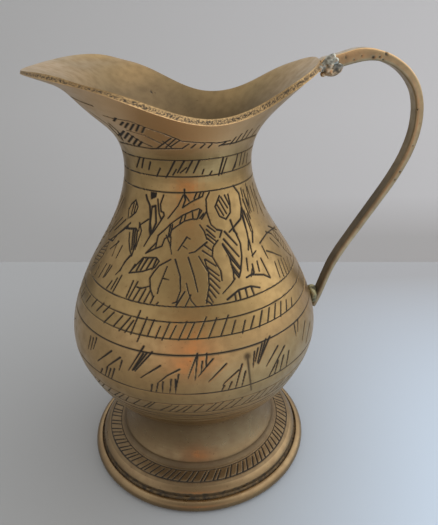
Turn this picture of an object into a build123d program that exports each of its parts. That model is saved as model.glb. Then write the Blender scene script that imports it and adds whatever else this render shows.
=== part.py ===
from build123d import *
import os
from math import cos, hypot, pi, sin, sqrt

# Small engraved brass water jug: a turned foot, a round belly in two halves, a drawn-in neck,
# a wide flared mouth that runs out into a pouring lip at -X, and a flat strap handle at +X.
# Millimetres. Z is up. The origin is the centre of the base circle, on the belly's axis.

# Wall of the vessel, and how thin it gets at the highest section of the spout
wall = 1.8
lip_wall = 1.1

# Belly and neck, outside radii, and heights above the table
belly_radius = 35.6
neck_radius = 16.7
neck_height = 93.8
bowl_seat_height = 22.2
bowl_bottom_height = 13.0

# Flared mouth: reach of its highest section from the axis, outside
mouth_top_height = 119.6
spout_reach = 43.8
handle_side_reach = 37.4
mouth_half_width = 38.6
widest_shift = 5.2

# Edge of the mouth, outside: high at the spout and the handle, low in between
rim_spout_height = 116.8
rim_low_height = 106.1
rim_handle_height = 117.7

# Turned foot
foot_radius = 34.5
bead_height = 3.6
bead_inset = 1.3
groove_width = 0.9
groove_depth = 0.5
flange_radius = 31.7
flange_height = 4.7
band_outer_radius = 29.3
band_outer_height = 6.8
band_inner_radius = 25.9
band_inner_height = 7.6
collar_foot_radius = 24.3
collar_foot_height = 9.3
collar_waist_radius = 21.6
collar_waist_height = 17.5
collar_top_radius = 21.9
foot_wall = 2.2
standing_width = 3.0
hollow_step_height = 4.6

# Strap handle, its top a little above the rim that it is butted to
handle_reach = 61.3
handle_rise = 1.0
handle_top_height = rim_handle_height + handle_rise
handle_tip_height = 46.8
handle_depth = 4.3
root_thickness = 2.3
bend_thickness = 2.0
tail_thickness = 1.5
strap_bevel = 0.35

# Brazing metal
girth_bead_width = 2.4
girth_bead_height = 0.8
girth_bead_clearance = 0.05
foot_bead_radius = 1.6
root_lump_length = 3.0
root_lump_radius = 2.7
root_lump_drop = 2.3
root_lump_setback = 0.9
tail_lump_length = 2.0
tail_lump_radius = 2.9
tail_lump_rise = 3.6

# One overrun for every cut
overrun = 5.0

# Outline of belly and neck, from the bowl's seat up: height from seat to neck, radius from neck to belly
body_outline_shares = [
    (0.000, 0.320),
    (0.097, 0.679),
    (0.195, 0.881),
    (0.292, 0.995),
    (0.389, 0.975),
    (0.501, 0.832),
    (0.583, 0.681),
    (0.680, 0.460),
    (0.778, 0.242),
    (0.875, 0.084),
    (1.000, 0.000),
]
seam_row = 5

# Sections of the mouth: height, reach to the spout, reach to the handle, half width, shift of the widest place
mouth_section_shares = [
    (0.28, 0.065, 0.095, 0.165, 0.06),
    (0.47, 0.22, 0.28, 0.40, 0.60),
    (0.65, 0.37, 0.52, 0.67, 1.00),
    (0.82, 0.57, 0.76, 0.97, 0.75),
    (1.00, 1.00, 1.00, 1.00, 0.38),
]

# Edge of the mouth: place along X as a share of the reach on that side, height from low to high
rim_spout_shares = [(-1.35, 0.62), (-1.02, 0.85), (-0.74, 1.00), (-0.32, 0.69)]
rim_low_share = 0.16
rim_handle_shares = [(0.43, 0.13), (0.72, 0.60), (1.04, 1.00), (1.6, 1.50)]

# Outside line of the strap: X from the mouth's reach to the handle's above the bend, height from tip to top
upper_strap_shares = [
    (-0.183, 0.965),
    (0.072, 0.983),
    (0.323, 1.000),
    (0.648, 0.971),
    (0.879, 0.903),
    (0.996, 0.747),
]

# Below the bend, X from the belly to the handle's reach
lower_strap_shares = [
    (0.875, 0.584),
    (0.693, 0.467),
    (0.342, 0.263),
    (0.214, 0.174),
    (0.128, 0.083),
    (0.039, 0.000),
]
strap_stations = 14
section_points = 12


def between(start, end, share):
    """The value that lies the given share of the way from start to end."""
    return start + (end - start) * share


def body_point(row):
    """Outside radius and height of one row of the body's outline."""
    height_share, radius_share = body_outline_shares[row]
    radius = between(neck_radius, belly_radius, radius_share)
    return radius, between(bowl_seat_height, neck_height, height_share)


def egg_points(spout_side, handle_side, half_width, shift):
    """Points round a section that is widest at x = -shift and reaches further on one side than the other."""
    points = []
    for step in range(section_points):
        angle = 2 * pi * step / section_points
        reach = handle_side + shift if cos(angle) > 0 else spout_side - shift
        points.append((reach * cos(angle) - shift, half_width * sin(angle)))
    return points


def vessel_sections():
    """Height, reach to the spout and to the handle, half width and shift of every section, from the seat up."""
    sections = []
    for row in range(len(body_outline_shares)):
        radius, height = body_point(row)
        sections.append((height, radius, radius, radius, 0))
    for height_share, spout, handle, width, shift in mouth_section_shares:
        sections.append(
            (
                between(neck_height, mouth_top_height, height_share),
                between(neck_radius, spout_reach, spout),
                between(neck_radius, handle_side_reach, handle),
                between(neck_radius, mouth_half_width, width),
                widest_shift * shift,
            )
        )
    return sections


def lined_sections():
    """The same sections drawn in by the wall, which is measured square to it and thins towards the lip."""
    outside = vessel_sections()
    lined = []
    for index, (height, *reaches, shift) in enumerate(outside):
        below = outside[max(index - 1, 0)]
        above = outside[min(index + 1, len(outside) - 1)]
        mouth_share = max(0, (height - neck_height) / (mouth_top_height - neck_height))
        walls = (between(wall, lip_wall, mouth_share), wall, wall)
        drawn_in = []
        for side, reach in enumerate(reaches, start=1):
            slope = (above[side] - below[side]) / (above[0] - below[0])
            drawn_in.append(reach - walls[side - 1] * hypot(1, slope))
        lined.append((height, *drawn_in, shift))
    return lined


def rim_line_points():
    """Points of the line, seen from the side, along which the mouth is trimmed."""
    points = []
    for x_share, height_share in rim_spout_shares:
        height = between(rim_low_height, rim_spout_height, height_share)
        points.append((spout_reach * x_share, height))
    points.append((handle_side_reach * rim_low_share, rim_low_height))
    for x_share, height_share in rim_handle_shares:
        height = between(rim_low_height, rim_handle_height, height_share)
        points.append((handle_side_reach * x_share, height))
    return points


def strap_points():
    """Points of the strap's outside line, from inside the mouth's wall to the tip on the belly."""
    points = []
    for start, shares in ((handle_side_reach, upper_strap_shares), (belly_radius, lower_strap_shares)):
        for x_share, height_share in shares:
            height = between(handle_tip_height, handle_top_height, height_share)
            points.append((between(start, handle_reach, x_share), height))
    return points


seam_height = body_point(seam_row)[1]
seat_radius, seat_height = body_point(0)

# The bowl's bottom is a round dish that meets the belly's outline at the seat
dish_rise = seat_height - bowl_bottom_height
dish_radius = (seat_radius**2 + dish_rise**2) / (2 * dish_rise)


def dish_height(radius):
    """Height of the dish's outside at a radius."""
    return bowl_bottom_height + dish_radius - sqrt(dish_radius**2 - radius**2)


# Outer form of the vessel: one loft through all sections, above and beyond the rim
with BuildPart() as vessel_form:
    for section_height, *section in vessel_sections():
        with BuildSketch(Plane.XY.offset(section_height)):
            with BuildLine():
                Spline(*egg_points(*section), periodic=True)
            make_face()
    loft()

# The space inside it, one wall smaller
with BuildPart() as vessel_space:
    for section_height, *section in lined_sections():
        with BuildSketch(Plane.XY.offset(section_height)):
            with BuildLine():
                Spline(*egg_points(*section), periodic=True)
            make_face()
    loft()

# What is cut away above the rim: the outer skin there, thickened both ways, so that the edge is square to the wall
with BuildPart() as above_rim:
    add(vessel_form.part)
    with BuildSketch(Plane.XZ):
        with BuildLine():
            rim_line = Spline(*rim_line_points())
            Polyline(rim_line @ 1, ((rim_line @ 1).X, 0), ((rim_line @ 0).X, 0), rim_line @ 0)
        make_face()
    extrude(amount=mouth_half_width + overrun, both=True, mode=Mode.SUBTRACT)
skin_above_rim = above_rim.faces().filter_by(GeomType.BSPLINE)
with BuildPart() as rim_cutter:
    thicken(skin_above_rim, amount=2 * wall, both=True)

# Upper body: shoulder, neck and mouth in one piece
with BuildPart() as upper_body:
    add(vessel_form.part)
    add(vessel_space.part, mode=Mode.SUBTRACT)
    split(bisect_by=Plane.XY.offset(seam_height), keep=Keep.TOP)
    add(rim_cutter.part, mode=Mode.SUBTRACT)

# Lower body: a raised bowl of the same sheet, closed by its dished bottom
with BuildPart() as bowl_form:
    with BuildSketch(Plane.XZ):
        with BuildLine():
            dish = RadiusArc((0, bowl_bottom_height), (seat_radius, seat_height), -dish_radius)
            belly_points = [Vector(*body_point(row)) for row in range(seam_row + 2)]
            rise = belly_points[-1] - belly_points[-2]
            belly = Spline(*belly_points, tangents=[dish % 1, rise])
            Polyline(belly @ 1, (0, (belly @ 1).Y), dish @ 0)
        make_face()
    revolve(axis=Axis.Z)

with BuildPart() as lower_body:
    add(bowl_form.part)
    bowl_mouth = lower_body.faces().sort_by(Axis.Z)[-1]
    offset(amount=-wall, openings=bowl_mouth)
    split(bisect_by=Plane.XY.offset(seam_height), keep=Keep.BOTTOM)

# Foot: a turned hollow pedestal with a beaded edge, an engraved flange and a waisted collar
with BuildPart() as foot:
    with BuildSketch(Plane.XZ):
        with BuildLine():
            bead = ThreePointArc(
                (foot_radius - bead_inset, 0),
                (foot_radius, bead_height / 2),
                (flange_radius + groove_width, bead_height),
            )
            groove = Polyline(
                bead @ 1,
                (flange_radius + groove_width / 2, bead_height - groove_depth),
                (flange_radius, bead_height),
                (flange_radius, flange_height),
            )
            flange = Spline(
                groove @ 1,
                (band_outer_radius, band_outer_height),
                (band_inner_radius, band_inner_height),
                tangents=[(-1, 2), (-3, 1)],
            )
            cove = ThreePointArc(
                flange @ 1,
                (
                    between(band_inner_radius, collar_foot_radius, 0.7),
                    between(band_inner_height, collar_foot_height, 0.3),
                ),
                (collar_foot_radius, collar_foot_height),
            )
            collar = Spline(
                cove @ 1,
                (collar_waist_radius, collar_waist_height),
                (collar_top_radius, seat_height),
            )
            hollow_radius = foot_radius - bead_inset - standing_width
            Polyline(
                collar @ 1,
                (collar_waist_radius - foot_wall, seat_height),
                (collar_waist_radius - foot_wall, collar_waist_height),
                (collar_foot_radius - foot_wall, collar_foot_height),
                (band_inner_radius - foot_wall, hollow_step_height),
                (hollow_radius - foot_wall, hollow_step_height / 2),
                (hollow_radius, 0),
                bead @ 0,
            )
        make_face()
    revolve(axis=Axis.Z)
    add(bowl_form.part, mode=Mode.SUBTRACT)

# Handle: a flat strap, thicker at the mouth, butted to the rim and scarfed onto the belly
with BuildPart() as handle:
    with BuildSketch(Plane.XZ):
        with BuildLine():
            outside = Spline(*strap_points())
            inside_points = []
            for station in range(strap_stations):
                share = station / (strap_stations - 1)
                if share < 0.5:
                    thickness = between(root_thickness, bend_thickness, 2 * share)
                else:
                    thickness = between(bend_thickness, tail_thickness, 2 * share - 1)
                along = outside % share
                inwards = Vector(along.Y, -along.X)
                inside_points.append((outside @ share) + inwards * thickness)
            inside = Spline(*inside_points)
            Line(outside @ 0, inside @ 0)
            Line(outside @ 1, inside @ 1)
        make_face()
    extrude(amount=handle_depth / 2, both=True)
    long_edges = handle.edges().filter_by(lambda e: e.length > belly_radius)
    chamfer(long_edges, length=min(strap_bevel, tail_thickness / 4))
    add(vessel_form.part, mode=Mode.SUBTRACT)
    add(bowl_form.part, mode=Mode.SUBTRACT)


def braze_lump(x, z, length, radius):
    """A drop of brazing metal, as long as stated along X and round across it."""
    with BuildPart() as lump:
        with BuildSketch(Plane.XZ.shift_origin((x, 0, z))):
            Ellipse(length, radius)
            Rectangle(2 * length, radius, align=(Align.CENTER, Align.MAX), mode=Mode.SUBTRACT)
        revolve(axis=Axis((x, 0, z), (1, 0, 0)))
    return lump.part


# Brazing bead along the girth seam, inside: flat against the wall's slope there and rounded inwards
inner_seam_radius = lined_sections()[seam_row][1] - girth_bead_clearance
rows_beside_seam = [body_point(seam_row - 1), body_point(seam_row + 1)]
seam_slope = (rows_beside_seam[1][0] - rows_beside_seam[0][0]) / (rows_beside_seam[1][1] - rows_beside_seam[0][1])
half_bead = girth_bead_width / 2
with BuildPart() as girth_braze:
    with BuildSketch(Plane.XZ):
        with BuildLine():
            back = Line(
                (inner_seam_radius - seam_slope * half_bead, seam_height - half_bead),
                (inner_seam_radius + seam_slope * half_bead, seam_height + half_bead),
            )
            crown = (inner_seam_radius - girth_bead_height, seam_height + seam_slope * girth_bead_height)
            ThreePointArc(back @ 1, crown, back @ 0)
        make_face()
    revolve(axis=Axis.Z)

# Brazing bead between foot and bowl, inside the foot's hollow
with BuildPart() as foot_braze:
    collar_bore_radius = collar_waist_radius - foot_wall
    with BuildSketch(Plane.XZ):
        with Locations((collar_bore_radius, dish_height(collar_bore_radius))):
            Circle(min(foot_bead_radius, foot_wall / 1.2))
    revolve(axis=Axis.Z)
    add(bowl_form.part, mode=Mode.SUBTRACT)
    add(foot.part, mode=Mode.SUBTRACT)

# Lump of brazing metal round the strap's root at the rim
with BuildPart() as handle_rim_braze:
    lump_height = rim_handle_height - root_lump_drop
    lump_reach = handle_side_reach - root_lump_setback
    add(braze_lump(lump_reach, lump_height, root_lump_length, root_lump_radius))
    add(vessel_form.part, mode=Mode.SUBTRACT)
    add(handle.part, mode=Mode.SUBTRACT)

# Small fillet of brazing metal behind the strap's tail on the belly
with BuildPart() as handle_belly_braze:
    lump_height = handle_tip_height + tail_lump_rise
    add(braze_lump(belly_radius, lump_height, tail_lump_length, tail_lump_radius))
    add(vessel_form.part, mode=Mode.SUBTRACT)
    add(bowl_form.part, mode=Mode.SUBTRACT)
    add(handle.part, mode=Mode.SUBTRACT)

pieces = {
    "upper_body": upper_body,
    "lower_body": lower_body,
    "girth_braze": girth_braze,
    "foot": foot,
    "foot_braze": foot_braze,
    "handle": handle,
    "handle_rim_braze": handle_rim_braze,
    "handle_belly_braze": handle_belly_braze,
}

os.makedirs("parts", exist_ok=True)
for piece_name, piece in pieces.items():
    piece.part.label = piece_name
    export_step(piece.part, f"parts/{piece_name}.step")
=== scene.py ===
import math
import random

import bmesh
import bpy
import numpy as np
from mathutils import Matrix, Vector, noise
from mathutils.bvhtree import BVHTree


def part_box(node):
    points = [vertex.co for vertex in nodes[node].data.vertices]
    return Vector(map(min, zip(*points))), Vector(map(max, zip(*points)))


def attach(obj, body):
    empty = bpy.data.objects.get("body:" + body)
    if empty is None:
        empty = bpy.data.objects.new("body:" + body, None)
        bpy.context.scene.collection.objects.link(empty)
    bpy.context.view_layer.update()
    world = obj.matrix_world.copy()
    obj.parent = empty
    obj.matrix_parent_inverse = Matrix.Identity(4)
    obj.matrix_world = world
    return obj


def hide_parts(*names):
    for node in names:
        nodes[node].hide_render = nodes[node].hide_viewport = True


# Engraved brass water jug. Metres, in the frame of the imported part: Z up, spout at -X, handle at +X.
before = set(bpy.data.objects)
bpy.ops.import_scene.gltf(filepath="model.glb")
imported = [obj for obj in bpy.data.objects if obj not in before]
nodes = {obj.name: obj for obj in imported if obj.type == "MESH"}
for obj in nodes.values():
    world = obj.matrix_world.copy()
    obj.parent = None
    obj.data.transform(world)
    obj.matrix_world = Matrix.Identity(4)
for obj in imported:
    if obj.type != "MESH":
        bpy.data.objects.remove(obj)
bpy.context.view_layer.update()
mm = 0.001
dice = random.Random(7)

# Camera, from the engraved circles and the outlines of the photograph
image_width, image_height = 438, 525
focal_pixels = 503.79
sensor_width = 36.0
clip_start, clip_end = 1 * mm, 10
camera_place = Vector((0, -131.64, 126.96)) * mm
camera_pitch, camera_yaw, camera_roll = 0.45577, 0.057955, -0.018838

# Grid of the engraved surfaces, and gaps and sizes that count as none
columns = 960
column_angles = np.arange(columns) * 2 * np.pi / columns
fine_step, coarse_step = 0.2 * mm, 0.8 * mm
coarse_below = 30 * mm
profile_stations = 160
outer_rows, rim_rows, inner_rows = 350, 9, 90
rim_lowest = 90 * mm
rim_edge_angle, corner_angle, shading_angle = 0.7, 0.35, 0.9
weld_gap, pole_gap, ray_gap = 0.002 * mm, 0.001 * mm, 0.02 * mm
same_place, same_plane, almost_zero = 1e-7, 1e-9, 1e-18
far_out, least_radius = 200 * mm, 1 * mm
section_tilt = 0.001

# Form of a cut, where its soot ends and its burr stands in parts of its half width, and of a circle
groove_depth, burr_height = 0.16 * mm, 0.03 * mm
cut_reach, cut_spare = 1.2, 0.1 * mm
full_half_width, least_depth, most_depth = 0.16 * mm, 0.4, 1.2
soot_end, soot_fade = 1.25, 0.5
burr_middle, burr_spread = 1.35, 0.3
ring_wander, ring_pieces, ring_waves, ring_phases = 0.06 * mm, 180, 3, 50

# Heights of the engraved circles on neck and belly, from the top down
circle_heights = {
    "neck_band_top": 97.3 * mm,
    "neck_band_foot": 93.1 * mm,
    "floral_top": 89.4 * mm,
    "floral_foot": 65.1 * mm,
    "hatch_top": 61.9 * mm,
    "hatch_foot": 58.3 * mm,
    "tick_top": 54.6 * mm,
    "tick_foot": 44.5 * mm,
    "low_hatch_top": 40.5 * mm,
    "low_hatch_foot": 36.8 * mm,
}
faint_circle_heights = [35 * mm, 33.6 * mm, 32.1 * mm]

# Widths of the strokes, and how closely they are traced
thin_width, line_width, wide_width = 0.28 * mm, 0.38 * mm, 0.5 * mm
ring_width = 0.34 * mm
flare_width, flare_wide_width = 0.42 * mm, 0.5 * mm
least_facing = 0.8
pixels_per_step, tenths = 3, 10

# Strokes that are cut in loops: angles in radians, looseness in parts of the pitch or as a length
hatch_pitch, hatch_lean = math.radians(5.1), math.radians(2.6)
side_hatches = range(-3, 4)
hatch_gap, low_hatch_rise = 0.3 * mm, 0.2 * mm
side_looseness, low_looseness = 0.4 * mm, 0.3 * mm
unevenness, low_hatch_unevenness = 0.2, 0.25
low_hatch_count, low_hatch_lean = 90, math.radians(5)
side_stroke_steps = 5
leaf_steps, leaf_fullness = 8, 0.8
flange_stroke_count, flange_lean = 98, math.radians(3.5)
flange_band_inner, flange_band_outer = 25.9 * mm, 29.3 * mm
flange_inner_gap, flange_outer_gap = 0.3 * mm, 0.2 * mm

# The two ends of the band of ticks: count, angle and its step, start and its step, end and its step, lean
hanging_ticks = (4, -0.05, 0.045, -0.5 * mm, -0.4 * mm, -4.5 * mm, 0, -0.06)
standing_ticks = (4, 0.1, 0.045, 0.5 * mm, 0, 2.5 * mm, 0.5 * mm, 0.02)
long_ticks = (2, -0.02, 0.1, -6 * mm, -1 * mm, -2 * mm, -1 * mm, 0.2)

# The leaves at the two ends of the flowers: angle, height of the foot, height, half angle, lean
end_leaves = [
    (-0.2, 1 * mm, 9 * mm, 0.07, -0.1),
    (0.02, 1 * mm, 14 * mm, 0.07, 0.06),
    (0.24, 1 * mm, 8 * mm, 0.07, 0.14),
    (-0.12, 14 * mm, 8 * mm, 0.08, 0.1),
]

# Foot: its rough groove, the painted shade of its cove and its dull flange
foot_clear_height = 20 * mm
foot_groove_heights = (2.4 * mm, 4.9 * mm)
foot_groove_radii = (31.6 * mm, 32.5 * mm)
groove_grain, groove_grit, least_grit = 900, 0.3 * mm, 0.1
grit_facing, grit_sharpness = 0.5, 2
groove_soot, groove_soot_spread, most_groove_soot = 0.6, 0.7, 0.9
cove_height, cove_spread, cove_radius, cove_painted_shade = 8.2 * mm, 1.2 * mm, 25.6 * mm, 0.5
flange_lowest, flange_border, flange_soot = 4 * mm, 1 * mm, 0.28

# Mouth: its filed rim with painted highlight and glint, the painted shade of its inside, and the flare's
# underside, worn brighter and with a painted reflection
rim_grain, rim_finer, rim_fine_share = 4600, 2.3, 0.6
rim_roughness, rim_level = 0.24 * mm, 0.35
rim_soot, rim_soot_spread, least_rim_soot, most_rim_soot = 0.62, 1.9, 0.1, 0.95
rim_highlit_edge_soot, rim_edge_rise = 0.25, 1.3
rim_rubbing_and_glint = 0.3
rim_thinning, spout_thinning, thinned_stations = 0.12, 0.42, 14
mouth_middle_painted_shade, mouth_width, mouth_depth_painted_shade, most_mouth_painted_shade = 0.42, 20 * mm, 1.6, 0.6
mouth_pit_pixel = (151, 92)
mouth_pit_width, mouth_pit_length = 0.7 * mm, 0.1 * mm
flare_foot, flare_fade = 97.5 * mm, 4 * mm
flare_least_sheen_and_wear, flare_sharpness = 0.05, 4

# Colours, linear
# Dark fill of cuts, grooves and pits, also used for painted shade
soot_and_shade = (0.018, 0.013, 0.008)
stain_colour = (0.06, 0.04, 0.025)
bare_brass = (0.8, 0.52, 0.27)
# The stage's colours hold painted light: the table brighter and bluer to the right, brightest at the near
# right, and the wall brighter to the right, with a painted shadow low on its right and painted shade far to
# its left.
table_near_left, table_lit_near_right = (0.3, 0.302, 0.298), (0.63, 0.76, 0.92)
table_far_left, table_far_right = (0.325, 0.33, 0.335), (0.35, 0.355, 0.37)
wall_left, wall_right, wall_shadow_low_right = (0.4, 0.398, 0.395), (0.565, 0.56, 0.57), (0.43, 0.42, 0.418)
wall_painted_shade_left = (0.1, 0.095, 0.09)
room_dark, room_pale = (0.35, 0.35, 0.36), (1.27, 1.27, 1.27)

# Patterns in the metal: scale and detail of each noise, between which of its values it turns, and finish
wide_patches, small_patches, patch_detail = 38, 330, 3
mottle_noise, speck_noise, scratch_noise, dent_noise = (420, 5), (1500, 3), (260, 4), (110, 2)
tone_turn, mottle_turn, speck_turn = (0.3, 0.7), (0.3, 0.6), (0.2, 0.33)
shine_turn, soot_turn = (0.3, 0.65), (0.2, 0.9)
duller, shinier = 0.1, 0.05
turned_scratches, drawn_scratches = (1, 1, 14), (9, 1, 1)
mottle_share, speck_share, speck_darkness = 0.28, 0.7, 0.35
bare_roughness, soot_roughness, soot_metallic = 0.48, 0.75, 0.25

# Where the stage changes its colour, in metres along X, Y or Z
table_turns_pale, table_turns_far, table_turns_plain = (-0.04, 0.12), (-0.05, 0.1), (0.16, 0.4)
wall_turns_pale, wall_turns_dark, wall_shade_heights = (-0.3, 0.4), (-0.6, -0.4), (-0.2, -0.13)
table_edge_pixels = (0, 262, 438, 262)
stage_half_width, table_end = 1.6, 0.35
stage_roughness = 0.8
table_profile, wall_profile = [(-0.45, 0), (0, 0)], [(0.5, -0.6), (0.5, 0.22)]

# The room that the metal reflects: its palest side, and patches as direction, cosines of the edges, colour
room_light_way, room_fade = (0.64, -0.25, 0.72), (-0.9, 0.9)
room_patches = [
    ((-0.05, -0.75, 0.66), (0.7, 0.93), (0.42, 0.4, 0.38)),
    ((0.78, -0.62, 0.08), (0.72, 0.95), (0.72, 0.7, 0.67)),
    ((-0.06, -0.99, -0.05), (0.9, 0.985), (0.9, 0.44, 0.25)),
]
window_place, window_target, window_size, window_power = (1.3, -0.1, 1.0), (0, 0, 0.05), (2.2, 2.2), 6
window_colour = (0.97, 0.98, 1)

# Stain on the belly, from its drop to the end of its run
stain_pixels = (247.4, 356.3, 251.4, 390.2)
stain_steps = 60
stain_drop_width, stain_run_width, stain_thinning = 0.9 * mm, 0.36 * mm, 0.5
stain_strength, stain_edge = 0.85, 1.5

# Strap: mesh, pits and file marks, its thicker root, the painted shade of its inner face and its worn edges
# with a painted highlight on top
strap_voxel, strap_smoothing, smoothing_share = 0.22 * mm, 3, 0.6
strap_pit_depth, strap_pit_edge, file_mark_depth = 0.3 * mm, 1.4, 0.03 * mm
file_mark_grain = np.array([260, 900, 260])
root_low, root_tilt, root_sharpness = 108 * mm, 0.3, 3
root_stations = [38 * mm, 42 * mm, 48 * mm, 54 * mm, 60 * mm]
root_rises = [1.0 * mm, 1.0 * mm, 0.35 * mm, 0.1 * mm, 0]
strap_rubbing_and_highlight = 0.9
edge_full, edge_tilt, edge_spread = 1.3, 0.6, 0.25
top_sharpness, top_tilt, inner_sharpness = 3, 0.2, 1.5
strap_inner_painted_shade, strap_shade_height, strap_shade_fade = 0.72, 105 * mm, 25 * mm

# Brazing metal: mesh, lumps in two sizes, and where the lump at the rim turns brassy
braze_voxel, braze_smoothing, braze_swell, blob_fineness = 0.16 * mm, 6, 0.15 * mm, 2
lump_grain, fine_lump_grain, fine_lump_share, lump_level = 600, 1500, 0.4, 0.2
lump_soot, most_lump_soot = 1.3, 0.8
rim_brassy_height, brassy_fade, most_brassy = 116 * mm, 2 * mm, 0.6

# Pits of the strap and splashes of braze at the rim: x and y in pixels, radius in millimetres
strap_pit_pixels = [
    (373.5, 57.5, 0.34), (380, 57, 0.22), (383, 60, 0.2), (386.5, 54, 0.36), (362, 56, 0.14),
    (354, 60, 0.14), (417, 110, 0.2), (400, 172, 0.26), (413, 146, 0.18), (395, 180, 0.2), (346, 58, 0.16),
]
rim_splash_pixels = [
    (321, 69, 0.9), (323, 66, 1.0), (326, 62, 1.0), (329, 58, 0.8), (333, 56, 0.8), (327, 70, 0.9),
    (323, 74, 0.8), (332, 72, 0.9), (338, 70, 0.9), (341, 66, 0.7), (336, 61, 0.9), (330, 65, 1.1),
]

# Strokes of the engraving, chosen on the photograph: x and y of their points in tenths of a pixel
floral_thin = [
    (1189, 2416, 1100, 2488), (1395, 2229, 1413, 2309, 1350, 2496), (1395, 2238, 1386, 2309),
    (1484, 2193, 1404, 2246), (1314, 2550, 1261, 2604, 1189, 2711, 1154, 2746),
    (1296, 2559, 1243, 2621, 1198, 2711), (1502, 2354, 1439, 2461), (1900, 2390, 1868, 2371),
    (1663, 2354, 1698, 2443, 1716, 2541), (1707, 2371, 1707, 2461), (1832, 2461, 1872, 2489),
    (1627, 2782, 1689, 2800), (1368, 2871, 1404, 2885, 1493, 2863), (2408, 1886, 2427, 1972),
    (2351, 2785, 2312, 2843, 2226, 2938), (2456, 1838, 2494, 2049), (2523, 1829, 2580, 2135),
    (2465, 1991, 2513, 2116), (2523, 2556, 2561, 2508), (2523, 2690, 2513, 2766),
    (2666, 2508, 2733, 2527, 2819, 2565), (2599, 2431, 2666, 2336, 2752, 2269),
    (2657, 2317, 2714, 2336, 2800, 2431), (2465, 2584, 2480, 2709), (2430, 1900, 2500, 2130),
    (2470, 1870, 2540, 2110), (2500, 1860, 2560, 2050), (2540, 1900, 2620, 2130), (2440, 2110, 2510, 2310),
    (2470, 2140, 2530, 2320), (2560, 1970, 2640, 2160), (2490, 2400, 2530, 2570), (2750, 2620, 2800, 2770),
    (2870, 2570, 2910, 2690), (2900, 2560, 2930, 2660), (2680, 2260, 2770, 2300), (2700, 2380, 2790, 2470),
    (2620, 2460, 2680, 2580), (1060, 2310, 1000, 2430), (1110, 2260, 1040, 2380), (1160, 2210, 1080, 2360),
    (1010, 2620, 950, 2740), (980, 2680, 930, 2770), (1180, 2410, 1120, 2560), (1220, 2460, 1160, 2580),
]
floral_lines = [
    (1225, 2175, 1087, 2327), (1260, 2193, 1145, 2300), (1279, 2264, 1100, 2398),
    (1305, 2229, 1180, 2336, 1127, 2407, 1082, 2394), (1225, 1960, 1171, 2095), (1243, 1979, 1154, 2175),
    (1288, 2095, 1314, 2041, 1359, 2001, 1379, 2068), (1379, 2068, 1359, 2121, 1296, 2175),
    (1288, 2086, 1279, 2184), (1341, 2032, 1314, 2139), (1363, 2032, 1337, 2130),
    (1296, 2327, 1288, 2407, 1296, 2500, 1314, 2559),
    (1578, 1992, 1582, 2059, 1591, 2139, 1609, 2193, 1640, 2157, 1636, 2126, 1609, 2113),
    (1609, 2113, 1604, 2041, 1636, 1952), (1640, 2157, 1546, 2300, 1511, 2345),
    (1832, 1952, 1779, 2059, 1680, 2184), (1457, 2532, 1564, 2425, 1582, 2354, 1654, 2291),
    (1654, 2291, 1707, 2238, 1824, 2154, 1930, 2106, 1987, 2087, 2016, 2106),
    (1457, 2532, 1546, 2488, 1618, 2461, 1645, 2389, 1698, 2354, 1716, 2300, 1757, 2269),
    (1757, 2269, 1844, 2211, 1910, 2192, 1968, 2192, 2016, 2106), (1564, 2425, 1555, 2480),
    (1707, 2238, 1680, 2371), (1725, 2246, 1698, 2371), (1824, 2154, 1796, 2230), (1860, 2135, 1844, 2201),
    (1920, 2106, 1930, 2183), (1995, 2106, 1977, 2183),
    (1288, 2729, 1430, 2577, 1564, 2577, 1591, 2613, 1546, 2675, 1421, 2715, 1288, 2729),
    (1707, 2595, 1591, 2657, 1538, 2720, 1497, 2782, 1502, 2889, 1529, 2970), (1332, 2809, 1261, 2970),
    (1377, 2818, 1288, 2979), (1404, 2880, 1332, 2996), (1457, 2889, 1386, 3014), (1502, 2907, 1439, 3023),
    (1538, 2961, 1502, 3032), (1582, 3023, 1564, 3041), (1118, 2809, 1064, 2880), (1171, 2782, 1109, 2889),
    (1216, 2755, 1127, 2916), (1064, 2639, 984, 2773), (1100, 2648, 1029, 2773), (1118, 2657, 1046, 2764),
    (1671, 2666, 1582, 2889, 1573, 2934), (1850, 2916, 1761, 3059),
    (1824, 2077, 1910, 2020, 2025, 1963, 2035, 1924), (1853, 1953, 1891, 2010), (1968, 1924, 1939, 1991),
    (2006, 1924, 1987, 1972), (2064, 2116, 2016, 2192), (2035, 2135, 1997, 2183),
    (2092, 1924, 2059, 1991, 2068, 2125, 2111, 2250, 2169, 2297),
    (2331, 1857, 2389, 1934, 2413, 2068, 2408, 2183, 2331, 2278), (2207, 1972, 2274, 2077),
    (2193, 1958, 2150, 2068, 2197, 2164, 2260, 2192, 2303, 2125, 2298, 2030, 2279, 1944),
    (2188, 2001, 2264, 2135), (2169, 2049, 2236, 2154), (2245, 1953, 2293, 2049), (2408, 2192, 2293, 2321),
    (2360, 2336, 2403, 2431, 2418, 2565, 2408, 2709, 2389, 2776),
    (2226, 2451, 2293, 2565, 2331, 2699, 2341, 2795), (1987, 2565, 2073, 2709),
    (2178, 2403, 2130, 2470, 2121, 2565, 2207, 2709, 2221, 2804), (1997, 2250, 2044, 2317, 2068, 2393),
    (2044, 2594, 2083, 2718, 2092, 2852, 2064, 3034), (1844, 2919, 1757, 3053),
    (1863, 2833, 1882, 2919, 1910, 3005, 1958, 3063), (1910, 2948, 1853, 3063),
    (2413, 2087, 2456, 2259, 2484, 2393, 2484, 2498), (2427, 1991, 2504, 2183), (2418, 2077, 2494, 2259),
    (2418, 2154, 2475, 2336), (2781, 2594, 2838, 2757), (2810, 2584, 2867, 2738), (2838, 2584, 2886, 2709),
    (2523, 2642, 2542, 2728, 2465, 2776), (2571, 2613, 2594, 2709), (2609, 2584, 2704, 2776),
    (2523, 2747, 2638, 2747, 2704, 2776),
]
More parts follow.
